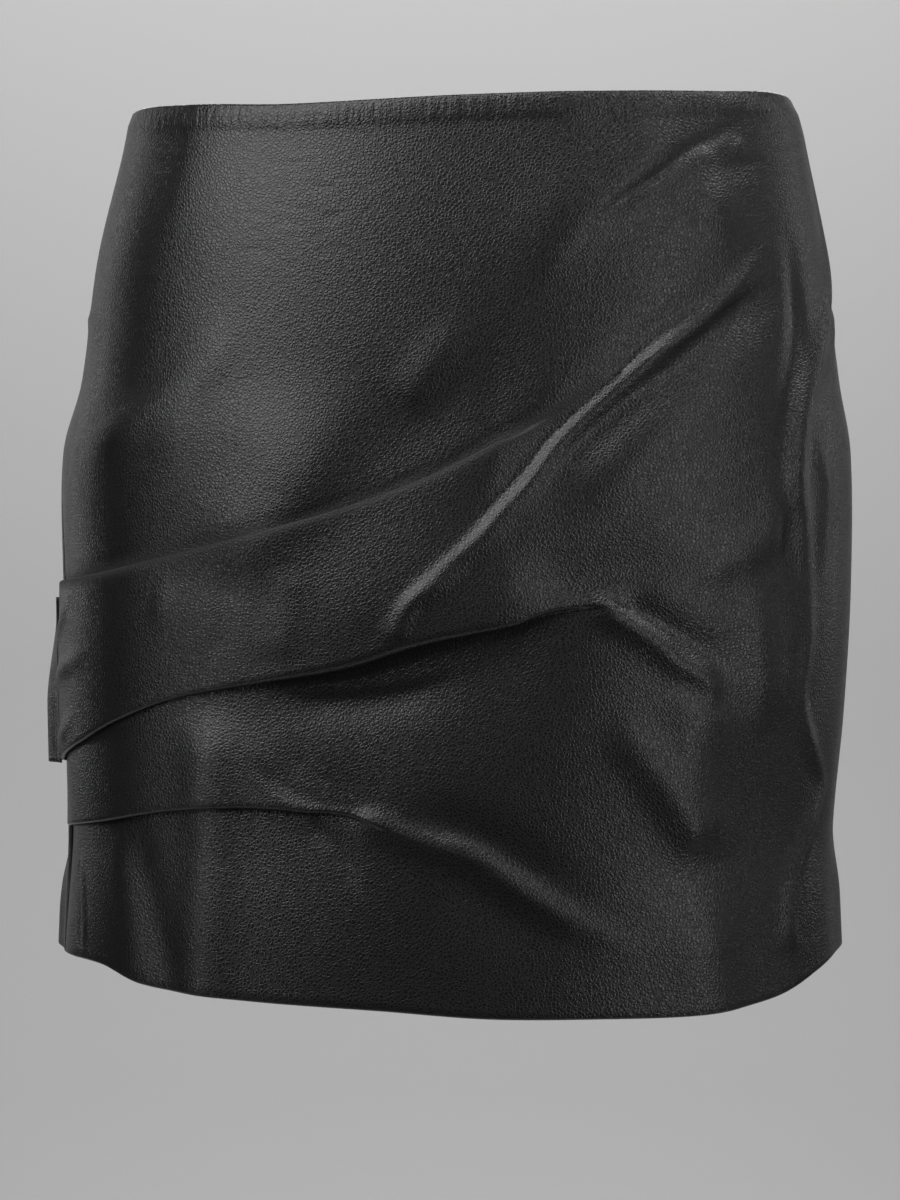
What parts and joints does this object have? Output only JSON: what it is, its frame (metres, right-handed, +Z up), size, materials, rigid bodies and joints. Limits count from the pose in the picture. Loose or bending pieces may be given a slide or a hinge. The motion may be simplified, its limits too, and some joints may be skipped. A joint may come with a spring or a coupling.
{
  "type": "leather mini skirt",
  "caption": "Black leather mini skirt in its worn shape, with pleats laid into one side seam and swept across the front.",
  "frame": {"origin": "middle of the waist opening, level with the top of the right side seam", "axes": "+Z up through the waist opening, -Y towards the front, +X to the right as the front is looked at"},
  "size_m": [0.3575, 0.2592, 0.4008],
  "materials": {
    "leather": "black grained nappa, semi-gloss"
  },
  "bodies": {
    "root": {"front_panel": "leather", "back_panel": "leather", "side_tab": "leather"}
  },
  "joints": []
}
